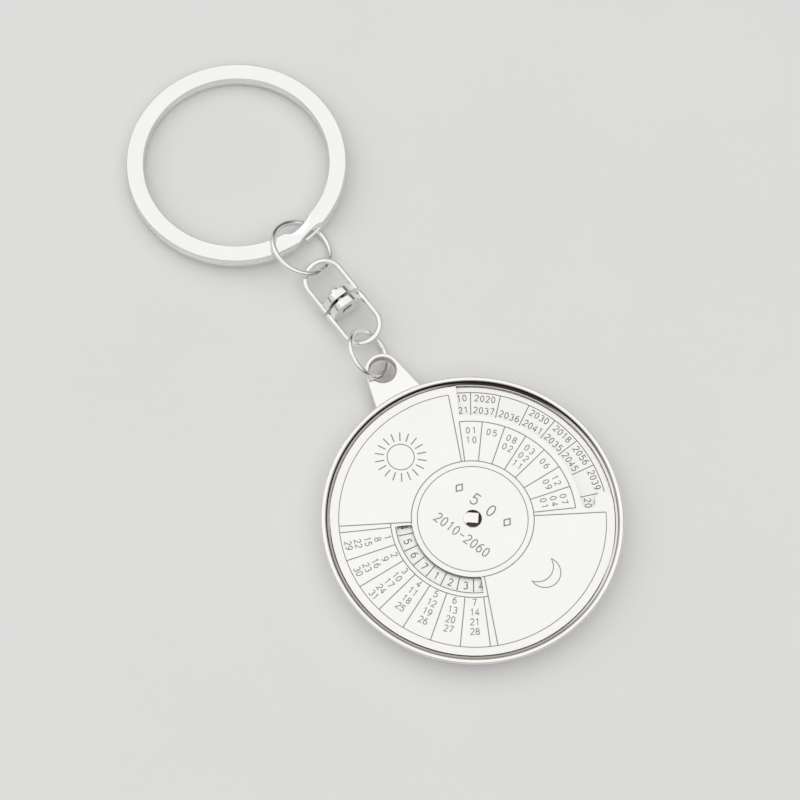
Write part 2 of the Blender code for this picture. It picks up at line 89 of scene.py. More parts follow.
# Sorting of the case's faces: the groove's margins, and how level a ledge face is and a lip face isn't
GROOVE_IN = 0.02
GROOVE_OUT = 0.04
GROOVE_DOWN = 0.03
LEDGE_LEVEL = 0.9
LIP_LEVEL = 0.97

# Height difference under which an edge is level
LEVEL_TOLERANCE = 0.01

# Dial rivet: the head's rows of (radius, height over its seat), and the flat that the punch left
RIVET_GAP = 0.1
RIVET_SHANK = 0.75
RIVET_EDGE = 1.2
RIVET_HEAD = ((1.2, 0.03), (1.17, 0.05), (1.02, 0.2), (0.97, 0.22), (0.9, 0.22), (0.5, 0.205), (0.2, 0.2),
              (0, 0.2))
RIVET_TURN = math.radians(12)
RIVET_CUTS = (0.75, 0.80, 0.66, 0.73)
FLAT_START = 1.18
FLAT_RUN = 0.16
LEAST_LEAN = 0.01

# Its skirts, dark with painted shade: how far upward they face, their heights over the seat, and the lit side
# that is left without painted shade
SKIRT_SLOPES = (0.3, 0.97)
SKIRT_HEIGHTS = (0.04, 0.21)
LIT_SIDE = 1

# Jump rings and swivel
SMALL_RING_RADIUS = 3.34
LARGE_RING_RADIUS = 4.2
RING_WIRE_RADIUS = 0.4
RING_CUT = 0.025
RING_CUT_ANGLE = 20
WIRE_SIDES = 28
RING_NIP = 0.03
BAIL_NIP = 0.05
NIP_SHARE = 0.92
BAIL_HALF_WIDTH = 2.6
BAIL_LENGTH = 7.1
BAIL_WIRE_RADIUS = 0.43
BAIL_LEG_INSET = 0.03
BAIL_LEG_LENGTH = 1.6
BOSS_GAP = 0.35
BOSS_BORE = 0.6
BOSS_RADIUS = 2.25
BOSS_THICKNESS = 1.1
BOSS_ROUND = 0.14
SWIVEL_REACH = 1.375
SWIVEL_SHANK = 0.5
SWIVEL_SEAT = 0.85
SWIVEL_TAIL = 0.6
SWIVEL_TAIL_HEIGHT = 0.22
SWIVEL_EASE = 0.06
SWIVEL_HEAD_SIDE = 0.3
SWIVEL_HEAD_HEIGHT = 1.0
DOME_FULLNESS = 0.7

# Split key ring
KEY_RING_RADIUS = 15.0
STRIP_WIDTH = 2.35
STRIP_THICKNESS = 0.9
STRIP_SLIT = 0.1
STRIP_ROUND = 0.2
STRIP_END_GAP = 0.3
CROSSOVER_TURN = math.radians(17.0)
CROSSOVER_BEARING = math.radians(-84.5)
CROSSOVER_INNER_SET = 0.31
CROSSOVER_OUTER_SET = 0.58
STRIP_TIP_WIDTH = 0.36
TIP_GAP = 1.45
TIP_BEVEL = 0.8
TIP_CUT = 0.45

# Steps round each turned or bent form
CASE_STEPS = 256
EYE_STEPS = 64
RIVET_STEPS = 128
RING_STEPS = 144
BAIL_STEPS = 72
BOSS_STEPS = 96
PIN_STEPS = 64

# Angles in degrees over which an edge stays sharp
SHARP = 35.0
CASE_SHARP = 28
RIVET_SHARP = 22
WIRE_SHARP = 40

# Print: how far ink stands over its plate, reaches into it and stands over a line it crosses; line widths
INK_RISE = 0.012
INK_SINK = 0.006
INK_STEP = 0.0006
LINE = 0.13
FINE_LINE = 0.11
MITRE_LIMIT = 0.5

# Degrees between the points of a ring line and of a numeral's bow
ARC_STEP = 1.5
BOW_STEP = 20

# Cells round the year disc and the angle that each takes; each table on the dial is a week wide
RING_CELLS = 28
COLUMN = 360 / RING_CELLS
WEEK = 7
LAST_DATE = 31

# Numerals: height, distance from one to the next, and line width
MONTH_STYLE = (0.84, 0.84, 0.118)
DATE_STYLE = (0.86, 0.68, 0.118)
SPAN_STYLE = (1.28, 0.98, 0.145)
TITLE_STYLE = (1.55, 2.62, 0.17)
YEAR_STYLE = (0.86, 0.74, 0.11)
WEEKDAY_STYLE = (0.95, 0.8, 0.13)

# Colours of each material, from its darker to its lighter patches
NICKEL = ((0.89, 0.885, 0.87), (0.95, 0.945, 0.935))
WIRE_NICKEL = ((0.84, 0.835, 0.82), (0.92, 0.915, 0.905))
STEEL = ((0.86, 0.855, 0.84), (0.92, 0.915, 0.905))
PLATE_SATIN = ((0.93, 0.925, 0.905), (0.97, 0.965, 0.945))
SHEET_SATIN = ((0.94, 0.935, 0.92), (0.97, 0.965, 0.95))
# Painted shade on the sheets' cut walls
CUT_WALL_SHADE = (0.10, 0.085, 0.075)
# The ledge: duller and browner than the casting
LEDGE_DULL = ((0.42, 0.37, 0.31), (0.58, 0.53, 0.47))
# Painted shade: the rim's groove, nearly black
GROOVE_PAINTED_SHADE = ((0.035, 0.028, 0.024), (0.09, 0.075, 0.06))
# Painted shade: the lug eye's lip and bore
LIP_PAINTED_SHADE = ((0.45, 0.40, 0.34), (0.80, 0.77, 0.72))
# Painted shade: the rivet head's steep skirts
SKIRT_PAINTED_SHADE = ((0.03, 0.024, 0.02), (0.10, 0.08, 0.06))
DIAL_INK = ((0.22, 0.22, 0.23), (0.30, 0.30, 0.31))
DISC_INK = ((0.12, 0.12, 0.13), (0.18, 0.18, 0.19))
FLOOR_GREY = ((0.86, 0.86, 0.855), (0.89, 0.89, 0.885))

# Painted shade and painted highlights on the ledge and groove, lying toward one side: (colour, bearing,
# start, whole), the last two in case radii toward the bearing
# Painted shade on the ledge toward bearing 42, the far side; painted highlight toward bearing 118, the right
# side
LEDGE_PAINTED_SHADE_AND_HIGHLIGHT = (((0.05, 0.035, 0.028), 42, 0.80, 0.94), ((0.86, 0.84, 0.80), 118, 0.50, 0.88))
# Painted highlight on the groove toward bearing 125, the right side
GROOVE_PAINTED_HIGHLIGHT = (((0.66, 0.60, 0.54), 125, 0.6, 0.95),)

# How far upward a punched sheet's surface faces where the painted shade on its cut walls begins and where it
# is whole
WALL_SHADE_FACING = (0.95, 0.35)

# Noises: cells per metre of a piece, and cells per millimetre along and round a wire and a strip
PEEL = 420
FINE_PEEL = 5200
WIRE_PATCHES = 900
WIRE_STREAKS = (0.35, 7.0, 1)
STRIP_PATCHES = 260
STRIP_GRAIN = (0.25, 14.0, 1)
STAINS = 700
CLOUDS = 130
SATIN_GRAIN = 9000
INK_PATCHES = 2600
FLOOR_MOTTLE = 35
FLOOR_GRAIN = 800

# The part of a noise's range that is used
NOISE_MIDDLE = (0.3, 0.7)

# Roughness of each material, from its smoother to its rougher patches
PLATED_ROUGHNESS = (0.05, 0.11)
WIRE_ROUGHNESS = (0.06, 0.14)
STRIP_ROUGHNESS = (0.07, 0.17)
DULL_PLATE_ROUGHNESS = (0.3, 0.5)
PLATE_ROUGHNESS = (0.29, 0.41)
SHEET_ROUGHNESS = (0.37, 0.49)
INK_ROUGHNESS = (0.45, 0.65)
FLOOR_ROUGHNESS = (0.75, 0.9)

# How metallic the satin sheets are
SATIN_METALLIC = 0.85

# Bumps: (strength, depth in metres)
PEEL_BUMP = (0.05, 0.00006)
FINE_PEEL_BUMP = (0.03, 0.000008)
WIRE_STREAK_BUMP = (0.12, 0.00002)
WIRE_PATCH_BUMP = (0.04, 0.00003)
STRIP_GRAIN_BUMP = (0.10, 0.00002)
STRIP_PATCH_BUMP = (0.05, 0.00012)
STAIN_BUMP = (0.15, 0.00003)
SATIN_GRAIN_BUMP = (0.12, 0.00001)
CLOUD_BUMP = (0.02, 0.0002)
INK_BUMP = (0.2, 0.000004)

# Floor and lamp in metres and watts; the lamp stands 1 to the picture's left by so much to its top and up
FLOOR_REACH = 3.0
KEY_TO_TOP = 0.35
KEY_RISE = 0.85
KEY_DISTANCE = 0.7
KEY_SIZE = 0.6
KEY_WATTS = 0.3

# The world's light by the height of its direction, from the horizon at 0 to overhead at 1
OPEN_SIDE = ((0.0, 0.72), (0.12, 0.70), (0.16, 0.28), (0.26, 0.28), (0.38, 0.74), (0.64, 0.78), (0.87, 1.0),
             (1.0, 1.03))
SHADED_SIDE = ((0.0, 0.72), (0.12, 0.70), (0.18, 0.48), (0.28, 0.42), (0.33, 0.13), (0.47, 0.13),
               (0.58, 0.66), (0.68, 1.0), (1.0, 1.03))

# How far a direction points to the open side where its light starts and is whole
OPEN_SIDE_EDGE = (0.1, 0.6)

# Powers of the light's level for red, green and blue: its dark parts are a little warm
WARM_TINT = (1.0, 1.03, 1.06)


def camera():
    """The photograph's viewpoint; gives the directions of the level picture's right and top."""
    level = math.cos(CAMERA_ELEVATION)
    right = Vector((math.cos(CAMERA_BEARING), -math.sin(CAMERA_BEARING), 0))
    back = Vector((-math.sin(CAMERA_BEARING) * level, -math.cos(CAMERA_BEARING) * level,
                   math.sin(CAMERA_ELEVATION)))
    up = back.cross(right)
    side = right * math.cos(CAMERA_ROLL) + up * math.sin(CAMERA_ROLL)
    rise = up * math.cos(CAMERA_ROLL) - right * math.sin(CAMERA_ROLL)
    data = bpy.data.cameras.new("camera")
    data.lens = FOCAL_LENGTH
    data.sensor_width = SENSOR
    data.clip_start = CLIP_START
    data.clip_end = CLIP_END
    item = bpy.data.objects.new("camera", data)
    axes = Matrix((side, rise, back)).transposed().to_4x4()
    item.matrix_world = Matrix.Translation(AIM + back * CAMERA_DISTANCE) @ axes
    bpy.context.scene.collection.objects.link(item)
    bpy.context.scene.camera = item
    return right, up


def node(material, kind, **settings):
    """Adds a shader node of the given kind and settings."""
    made = material.node_tree.nodes.new(kind)
    for name, value in settings.items():
        setattr(made, name, value)
    return made


def texture(material, scale, detail, stretch=(1, 1, 1), coordinate="Object"):
    """A noise of the given scale, in the piece's own space unless another is named."""
    place = node(material, "ShaderNodeTexCoord")
    mapping = node(material, "ShaderNodeMapping")
    mapping.inputs["Scale"].default_value = stretch
    grain = node(material, "ShaderNodeTexNoise")
    grain.inputs["Scale"].default_value = scale
    grain.inputs["Detail"].default_value = detail
    links = material.node_tree.links
    links.new(place.outputs[coordinate], mapping.inputs["Vector"])
    links.new(mapping.outputs["Vector"], grain.inputs["Vector"])
    return grain.outputs["Fac"]


def spread(material, source, low, high):
    """Stretches the middle of a noise to the given range."""
    ranged = node(material, "ShaderNodeMapRange")
    ranged.inputs["From Min"].default_value = NOISE_MIDDLE[0]
    ranged.inputs["From Max"].default_value = NOISE_MIDDLE[1]
    ranged.inputs["To Min"].default_value = low
    ranged.inputs["To Max"].default_value = high
    material.node_tree.links.new(source, ranged.inputs["Value"])
    return ranged.outputs["Result"]


def blend_colours(material, source, first, second):
    """Colours the surface between two colours by a noise."""
    mixed = node(material, "ShaderNodeMix", data_type="RGBA")
    mixed.inputs["A"].default_value = (*first, 1)
    mixed.inputs["B"].default_value = (*second, 1)
    material.node_tree.links.new(source, mixed.inputs["Factor"])
    shader = material.node_tree.nodes["Principled BSDF"]
    material.node_tree.links.new(mixed.outputs["Result"], shader.inputs["Base Color"])


def bumps(material, layers):
    """Chains bump layers: (height source, strength, depth in metres)."""
    shader = material.node_tree.nodes["Principled BSDF"]
    before = None
    for source, strength, depth in layers:
        made = node(material, "ShaderNodeBump")
        made.inputs["Strength"].default_value = strength
        made.inputs["Distance"].default_value = depth
        material.node_tree.links.new(source, made.inputs["Height"])
        if before:
            material.node_tree.links.new(before.outputs["Normal"], made.inputs["Normal"])
        before = made
    material.node_tree.links.new(before.outputs["Normal"], shader.inputs["Normal"])


def surface(name, metallic):
    """A new material; its colour and roughness are linked to it later."""
    material = bpy.data.materials.new(name)
    material.use_nodes = True
    shader = material.node_tree.nodes["Principled BSDF"]
    shader.inputs["Metallic"].default_value = metallic
    return material


def set_roughness(material, source):
    """Links a source to the surface's roughness."""
    shader = material.node_tree.nodes["Principled BSDF"]
    material.node_tree.links.new(source, shader.inputs["Roughness"])


def plated(name):
    """Bright nickel plate over a casting: a faint orange peel under a mirror finish."""
    material = surface(name, 1.0)
    wide = texture(material, PEEL, detail=3)
    fine = texture(material, FINE_PEEL, detail=2)
    blend_colours(material, wide, *NICKEL)
    set_roughness(material, spread(material, fine, *PLATED_ROUGHNESS))
    bumps(material, [(wide, *PEEL_BUMP), (fine, *FINE_PEEL_BUMP)])
    return material


def drawn_wire(name):
    """Plated wire with faint marks along its length."""
    material = surface(name, 1.0)
    streaks = texture(material, 1.0, detail=3, stretch=WIRE_STREAKS, coordinate="UV")
    patches = texture(material, WIRE_PATCHES, detail=2)
    blend_colours(material, patches, *WIRE_NICKEL)
    set_roughness(material, spread(material, patches, *WIRE_ROUGHNESS))
    bumps(material, [(streaks, *WIRE_STREAK_BUMP), (patches, *WIRE_PATCH_BUMP)])
    return material


def strip_steel(name):
    """Polished strip with a grain that runs round the ring."""
    material = surface(name, 1.0)
    grain = texture(material, 1.0, detail=4, stretch=STRIP_GRAIN, coordinate="UV")
    patches = texture(material, STRIP_PATCHES, detail=2)
    blend_colours(material, patches, *STEEL)
    set_roughness(material, spread(material, grain, *STRIP_ROUGHNESS))
    bumps(material, [(grain, *STRIP_GRAIN_BUMP), (patches, *STRIP_PATCH_BUMP)])
    return material


def tarnished(name, low, high, *patches):
    """Dull plate, darker than the casting, that carries painted shade in recesses and on faces turned from
    the light.

    Each patch is a painted shade or painted highlight: a colour, the bearing toward which it lies, and where
    it starts and is whole, as shares of the case's radius.
    """
    material = surface(name, 1.0)
    stains = texture(material, STAINS, detail=4)
    blend_colours(material, stains, low, high)
    set_roughness(material, spread(material, stains, *DULL_PLATE_ROUGHNESS))
    bumps(material, [(stains, *STAIN_BUMP)])
    # Painted shade or painted highlight, fading in toward each patch's bearing
    for colour, bearing, start, end in patches:
        place = node(material, "ShaderNodeTexCoord")
        along = node(material, "ShaderNodeVectorMath", operation="DOT_PRODUCT")
        along.inputs[1].default_value = (*polar(1 / (CASE_RADIUS * MM), bearing), 0)
        material.node_tree.links.new(place.outputs["Object"], along.inputs[0])
        overlay(material, along.outputs["Value"], start, end, colour)
    return material


def overlay(material, source, start, end, colour):
    """Fades the surface's colour into another one where the source rises from start to end."""
    shader = material.node_tree.nodes["Principled BSDF"]
    links = material.node_tree.links
    share = node(material, "ShaderNodeMapRange", interpolation_type="SMOOTHSTEP")
    share.inputs["From Min"].default_value = start
    share.inputs["From Max"].default_value = end
    mixed = node(material, "ShaderNodeMix", data_type="RGBA")
    mixed.inputs["B"].default_value = (*colour, 1)
    links.new(source, share.inputs["Value"])
    links.new(share.outputs["Result"], mixed.inputs["Factor"])
    links.new(shader.inputs["Base Color"].links[0].from_socket, mixed.inputs["A"])
    links.new(mixed.outputs["Result"], shader.inputs["Base Color"])


def satin(name, low, high, roughness):
    """Satin silver sheet: fine grain, faint clouds."""
    material = surface(name, SATIN_METALLIC)
    clouds = texture(material, CLOUDS, detail=3)
    grain = texture(material, SATIN_GRAIN, detail=2)
    blend_colours(material, clouds, low, high)
    set_roughness(material, spread(material, grain, *roughness))
    bumps(material, [(grain, *SATIN_GRAIN_BUMP), (clouds, *CLOUD_BUMP)])
    return material


def punched(name, low, high, roughness):
    """Satin sheet with painted shade on its cut walls, darker the less they face upward."""
    material = satin(name, low, high, roughness)
    facing = node(material, "ShaderNodeNewGeometry")
    split = node(material, "ShaderNodeSeparateXYZ")
    material.node_tree.links.new(facing.outputs["Normal"], split.inputs["Vector"])
    # Painted shade: the less a face looks upward, the darker
    overlay(material, split.outputs["Z"], *WALL_SHADE_FACING, CUT_WALL_SHADE)
    return material


def ink(name, low, high):
    """Thin grey screen print, a little uneven."""
    material = surface(name, 0.0)
    patches = texture(material, INK_PATCHES, detail=3)
    blend_colours(material, patches, low, high)
    set_roughness(material, spread(material, patches, *INK_ROUGHNESS))
    bumps(material, [(patches, *INK_BUMP)])
    return material


def add_piece(name, bm, materials, body, replaced, sharp=SHARP):
    """Makes a piece from a mesh in millimetres and gives it to its body."""
    bmesh.ops.recalc_face_normals(bm, faces=bm.faces)
    bmesh.ops.scale(bm, vec=(MM, MM, MM), verts=bm.verts)
    mesh = bpy.data.meshes.new(name)
    bm.to_mesh(mesh)
    bm.free()
    mesh.shade_smooth()
    mesh.set_sharp_from_angle(angle=math.radians(sharp))
    for material in materials:
        mesh.materials.append(material)
    piece = bpy.data.objects.new(name, mesh)
    bpy.context.scene.collection.objects.link(piece)
    piece.modifiers.new("normals", "WEIGHTED_NORMAL").keep_sharp = True
    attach(piece, body)
    if replaced:
        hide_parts(replaced)


def arc(centre, radius, start, end, steps):
    """Points on an arc in the mesh's plane, angles in degrees."""
    angles = [math.radians(start + (end - start) * k / steps) for k in range(steps + 1)]
    return [(centre[0] + radius * math.cos(a), centre[1] + radius * math.sin(a)) for a in angles]


def polar(radius, bearing):
    """The point at a radius and a bearing from the dial's middle."""
    angle = math.radians(bearing)
    return Vector((radius * math.sin(angle), radius * math.cos(angle)))


def eased(points, radius, steps=4):
    """Rounds the inner corners of an open line."""
    line = [Vector(point) for point in points]
    out = [line[0]]
    for before, corner, after in zip(line, line[1:], line[2:]):
        reach = min(radius, (before - corner).length / 2, (after - corner).length / 2)
        start = corner + (before - corner).normalized() * reach
        end = corner + (after - corner).normalized() * reach
        for k in range(steps + 1):
            share = k / steps
            out.append(start * (1 - share) ** 2 + corner * 2 * share * (1 - share) + end * share ** 2)
    return [tuple(point) for point in out + [line[-1]]]


def lathe(profile, segments, swell=None):
    """A solid of revolution about Z from a (radius, height) profile.

    The profile starts and ends on the axis, or keeps off it and is closed into a ring.
    """
    bm = bmesh.new()
    rings = []
    for radius, height in profile:
        count = segments if radius > 0 else 1
        ring = []
        for k in range(count):
            angle = 2 * math.pi * k / count
            reach = radius * (swell(radius, angle) if swell else 1)
            ring.append(bm.verts.new((reach * math.cos(angle), reach * math.sin(angle), height)))
        rings.append(ring)
    pairs = list(zip(rings, rings[1:]))
    if len(rings[0]) > 1 and len(rings[-1]) > 1:
        pairs.append((rings[-1], rings[0]))
    for lower, upper in pairs:
        for k in range(segments):
            corners = [lower[k % len(lower)], lower[(k + 1) % len(lower)]]
            corners += [upper[(k + 1) % len(upper)], upper[k % len(upper)]]
            bm.faces.new(list(dict.fromkeys(corners)))
    bmesh.ops.recalc_face_normals(bm, faces=bm.faces)
    return bm


def skin(bm, sections, lengths, girths):
    """Joins equal closed sections and caps the ends; UV runs along and round in millimetres."""
    uv = bm.loops.layers.uv.verify()
    count = len(sections[0])
    for row in range(len(sections) - 1):
        for k in range(count):
            after = (k + 1) % count
            near, far = sections[row], sections[row + 1]
            face = bm.faces.new((near[k], near[after], far[after], far[k]))
            marks = [(row, k), (row, k + 1), (row + 1, k + 1), (row + 1, k)]
            for loop, (station, step) in zip(face.loops, marks):
                loop[uv].uv = (lengths[station], girths[step])
    for section in (sections[0], sections[-1]):
        bm.faces.new(section)
    bmesh.ops.recalc_face_normals(bm, faces=bm.faces)


def wire(path, radius, nip):
    """Round wire along a path in the XY plane, its ends slightly rounded."""
    points = [Vector((*point, 0)) for point in path]
    start = (points[1] - points[0]).normalized()
    end = (points[-1] - points[-2]).normalized()
    points = [points[0], points[0] + start * nip] + points[1:-1] + [points[-1] - end * nip, points[-1]]
    shares = [NIP_SHARE] + [1.0] * (len(points) - 2) + [NIP_SHARE]
    steps = [2 * math.pi * k / WIRE_SIDES for k in range(WIRE_SIDES + 1)]
    bm = bmesh.new()
    sections, lengths, length = [], [], 0.0
    around = [points[0]] + points, points, points[1:] + [points[-1]]
    for before, middle, after, share in zip(*around, shares):
        side = (after - before).cross(UP).normalized()
        length += (middle - before).length
        spokes = [side * math.cos(step) + UP * math.sin(step) for step in steps[:-1]]
        sections.append([bm.verts.new(middle + spoke * radius * share) for spoke in spokes])
        lengths.append(length)
    skin(bm, sections, lengths, [radius * step for step in steps])
    return bm


def combined(base, tool, operation):
    """Joins or cuts one mesh with another."""
    items = []
    for bm in (base, tool):
        mesh = bpy.data.meshes.new("work")
        bm.to_mesh(mesh)
        bm.free()
        item = bpy.data.objects.new("work", mesh)
        bpy.context.scene.collection.objects.link(item)
        items.append(item)
    modifier = items[0].modifiers.new("work", "BOOLEAN")
    modifier.operation = operation
    modifier.object = items[1]
    result = bmesh.new()
    result.from_object(items[0], bpy.context.evaluated_depsgraph_get())
    for item in items:
        bpy.data.objects.remove(item)
    return result


def link_place(x, y, height, yaw, lean):
    """A link's place: turned flat by its yaw, then leaned about its own length."""
    turn = Matrix.Rotation(math.radians(yaw), 4, "Z") @ Matrix.Rotation(math.radians(lean), 4, "Y")
    return Matrix.Translation((x, y, height)) @ turn


# Where each link lies at rest
SMALL_RING_PLACE = link_place(-0.60433, 27.06405, 2.685, -16.2, 42.69875)
LOWER_BAIL_PLACE = link_place(0.01034, 35.40222, 2.27, 8.0, -10.7) @ Matrix.Rotation(math.pi, 4, "Z")
UPPER_BAIL_PLACE = link_place(0.01034, 35.40222, 2.27, 8.0, -14.2)
SWIVEL_RIVET_PLACE = LOWER_BAIL_PLACE @ Matrix.Rotation(math.pi / 2, 4, "X")
LARGE_RING_PLACE = link_place(-1.00659, 44.9693, 2.248, 2.2, 25.80045)
KEY_RING_PITCH = Matrix.Rotation(math.radians(-2.34024), 4, "X")
KEY_RING_LEAN = Matrix.Rotation(math.radians(-0.40073), 4, "Y")
KEY_RING_PLACE = Matrix.Translation((-2.6801, 60.35324, 1.59059)) @ KEY_RING_PITCH @ KEY_RING_LEAN


def case_finish(face):
    """Which of the case's materials a face has: casting, ledge, groove flank or eye lip."""
    heart = face.calc_center_median()
    mouth = math.hypot(heart.x, heart.y - HOLE_Y) - HOLE_RADIUS
    if mouth < EYE_LIP and abs(face.normal.z) < LIP_LEVEL:
        return 3
    reach = math.hypot(heart.x, heart.y)
    groove = CAVITY_RADIUS - GROOVE_IN < reach < CASE_RADIUS - RIM_WIDTH + GROOVE_OUT
    if groove and heart.z > LEDGE - GROOVE_DOWN:
        return 1 if face.normal.z > LEDGE_LEVEL else 2
    return 0


def case_piece(materials):
    """The dish, its beaded rim and the lug with its round-lipped eye."""
    wall = CASE_RADIUS - RIM_WIDTH
    bead = RIM_TOP - RIM_ROUND
    inside = [(0, BLIND_FLOOR), (BORE, BLIND_FLOOR), (BORE, CASE_FLOOR), (CAVITY_RADIUS, CASE_FLOOR)]
    inside += [(CAVITY_RADIUS, LEDGE), (LEDGE_RADIUS, LEDGE), (wall, bead)]
    profile = eased(inside, INNER_EASE, 2)
    profile += arc((wall + RIM_ROUND, bead), RIM_ROUND, 180, 90, 8)[1:]
    profile += arc((CASE_RADIUS - RIM_ROUND, bead), RIM_ROUND, 90, 0, 8)
    shoulder = [(CASE_RADIUS, bead - BEAD_FOOT), (CASE_RADIUS, PLATE_TOP), (CASE_FOOT, BACK_ROUND)]
    profile += eased(shoulder, SHOULDER_EASE)[1:-1]
    profile += arc((CASE_FOOT - BACK_ROUND, BACK_ROUND), BACK_ROUND, 0, -90, 10) + [(0, 0)]
    dish = lathe(profile, CASE_STEPS)
    bm = combined(dish, lug_mesh(), "UNION")
    bm = combined(bm, eye_mesh(), "DIFFERENCE")
    for face in bm.faces:
        face.material_index = case_finish(face)
    add_piece("case_casting", bm, materials, "case", "case", CASE_SHARP)


def lug_mesh():
    """Tapered tongue with softly rounded edges, rooted inside the case wall."""
    reach = math.hypot(LUG_ROOT, HOLE_Y - CASE_RADIUS)
    tangent = math.degrees(math.acos(EYE_RADIUS / reach) - math.atan2(HOLE_Y - CASE_RADIUS, LUG_ROOT))
    root = (CAVITY_RADIUS + CASE_FOOT) / 2
    half = math.degrees(math.asin(LUG_ROOT / root))
    outline = arc((0, HOLE_Y), EYE_RADIUS, tangent, 180 - tangent, 40) + [(-LUG_ROOT, CASE_RADIUS)]
    outline += arc((0, 0), root, 90 + half, 90 - half, 8) + [(LUG_ROOT, CASE_RADIUS)]
    bm = bmesh.new()
    low = LUG_MIDDLE - LUG_THICKNESS / 2
    base = bm.faces.new([bm.verts.new((x, y, low)) for x, y in outline])
    grown = bmesh.ops.extrude_face_region(bm, geom=[base])
    lifted = [item for item in grown["geom"] if isinstance(item, bmesh.types.BMVert)]
    bmesh.ops.translate(bm, verts=lifted, vec=(0, 0, LUG_THICKNESS))
    bmesh.ops.recalc_face_normals(bm, faces=bm.faces)
    rims = [edge for edge in bm.edges if abs(edge.verts[0].co.z - edge.verts[1].co.z) < LEVEL_TOLERANCE]
    bmesh.ops.bevel(bm, geom=rims, offset=LUG_EDGE_ROUND, segments=4, profile=0.5, affect="EDGES")
    return bm


def eye_mesh():
    """Cutter for the lug's hole, flared round at both mouths."""
    half = LUG_THICKNESS / 2
    mouth = HOLE_RADIUS + EYE_LIP
    upper = arc((mouth, half - EYE_LIP), EYE_LIP, 180, 90, 6)
    lower = [(r, -h) for r, h in reversed(upper)]
    end = half + CUT_OVERRUN
    profile = [(0, -end), (mouth, -end)] + lower + upper + [(mouth, end), (0, end)]
    bm = lathe(profile, EYE_STEPS)
    bmesh.ops.translate(bm, verts=bm.verts, vec=(0, HOLE_Y, LUG_MIDDLE))
    return bm


def dial_rivet_piece(materials):
    """Set rivet: the punch left a four-cornered flat, off the middle, with a steep skirt on each side."""
    seat = PLATE_TOP + RIVET_GAP

    def corner(radius, angle):
        """How far the flat's outline reaches, cut off square on its four sides."""
        share = min(max((FLAT_START - radius) / FLAT_RUN, 0), 1)
        reach = 1.0
        for k, cut in enumerate(RIVET_CUTS):
            lean = math.cos(angle - RIVET_TURN - math.pi * (1 + 2 * k) / 4)
            if lean > LEAST_LEAN:
                reach = min(reach, cut / lean)
        return 1 - share * (1 - reach)

    foot = BLIND_FLOOR + RIVET_GAP
    profile = [(0, foot), (RIVET_SHANK, foot), (RIVET_SHANK, seat), (RIVET_EDGE, seat)]
    profile += [(radius, seat + height) for radius, height in RIVET_HEAD]
    bm = lathe(profile, RIVET_STEPS, corner)
    # Painted shade on the steep skirts, on all sides but the lit one
    for face in bm.faces:
        heart = face.calc_center_median()
        steep = SKIRT_SLOPES[0] < face.normal.z < SKIRT_SLOPES[1]
        rising = seat + SKIRT_HEIGHTS[0] < heart.z < seat + SKIRT_HEIGHTS[1]
        side = (math.atan2(heart.y, heart.x) - RIVET_TURN) % (2 * math.pi) // (math.pi / 2)
        face.material_index = 1 if steep and rising and side != LIT_SIDE else 0
    add_piece("dial_rivet_head", bm, materials, "case", "dial_rivet", RIVET_SHARP)


def jump_ring_piece(name, node_name, body, place, radius, material):
    """Wire bent to a ring, its two ends butted."""
    cut = math.degrees(RING_CUT / radius)
    path = arc((0, 0), radius, RING_CUT_ANGLE + cut, RING_CUT_ANGLE + 360 - cut, RING_STEPS)
    bm = wire(path, RING_WIRE_RADIUS, RING_NIP)
    bmesh.ops.transform(bm, matrix=place, verts=bm.verts)
    add_piece(name, bm, [material], body, node_name)


def bail_piece(name, node_name, body, place, material):
    """U of round wire let into the rim of its round boss."""
    bend = BAIL_LENGTH - BAIL_WIRE_RADIUS - BAIL_HALF_WIDTH
    low, high = BOSS_GAP / 2, BOSS_GAP / 2 + BOSS_THICKNESS
    leg = [(BAIL_HALF_WIDTH, low + BAIL_LEG_INSET), (BAIL_HALF_WIDTH, BAIL_LEG_LENGTH)]
    path = leg + arc((0, bend), BAIL_HALF_WIDTH, 0, 180, BAIL_STEPS)
    path += [(-x, y) for x, y in reversed(leg)]
    rim = eased([(BOSS_BORE, low), (BOSS_RADIUS, low), (BOSS_RADIUS, high), (BOSS_BORE, high)], BOSS_ROUND, 5)
    boss = lathe(rim, BOSS_STEPS)
    bmesh.ops.transform(boss, matrix=Matrix.Rotation(-math.pi / 2, 4, "X"), verts=boss.verts)
    bm = combined(wire(path, BAIL_WIRE_RADIUS, BAIL_NIP), boss, "UNION")
    bmesh.ops.transform(bm, matrix=place, verts=bm.verts)
    add_piece(name, bm, [material], body, node_name, WIRE_SHARP)


def swivel_rivet_piece(material):
    """A flat tail in the lower bail, the shank, and a domed head in the upper bail."""
    tail, brow = -SWIVEL_REACH - SWIVEL_TAIL_HEIGHT, SWIVEL_REACH + SWIVEL_HEAD_SIDE
    profile = [(0, tail), (SWIVEL_TAIL, tail), (SWIVEL_SEAT, -SWIVEL_REACH), (SWIVEL_SHANK, -SWIVEL_REACH)]
    profile = eased(profile + [(SWIVEL_SHANK, SWIVEL_REACH)], SWIVEL_EASE, 3)[:-1]
    profile += [(SWIVEL_SHANK, SWIVEL_REACH), (SWIVEL_SEAT, SWIVEL_REACH), (SWIVEL_SEAT, brow)]
    rise = SWIVEL_HEAD_HEIGHT - SWIVEL_HEAD_SIDE
    dome = arc((0, 0), 1, 0, 90, 14)[1:-1]
    profile += [(SWIVEL_SEAT * x ** DOME_FULLNESS, brow + rise * y) for x, y in dome]
    profile += [(0, SWIVEL_REACH + SWIVEL_HEAD_HEIGHT)]
    bm = lathe(profile, PIN_STEPS)
    bmesh.ops.transform(bm, matrix=SWIVEL_RIVET_PLACE, verts=bm.verts)
    add_piece("swivel_rivet_pin", bm, [material], "swivel_lower", "swivel_rivet")


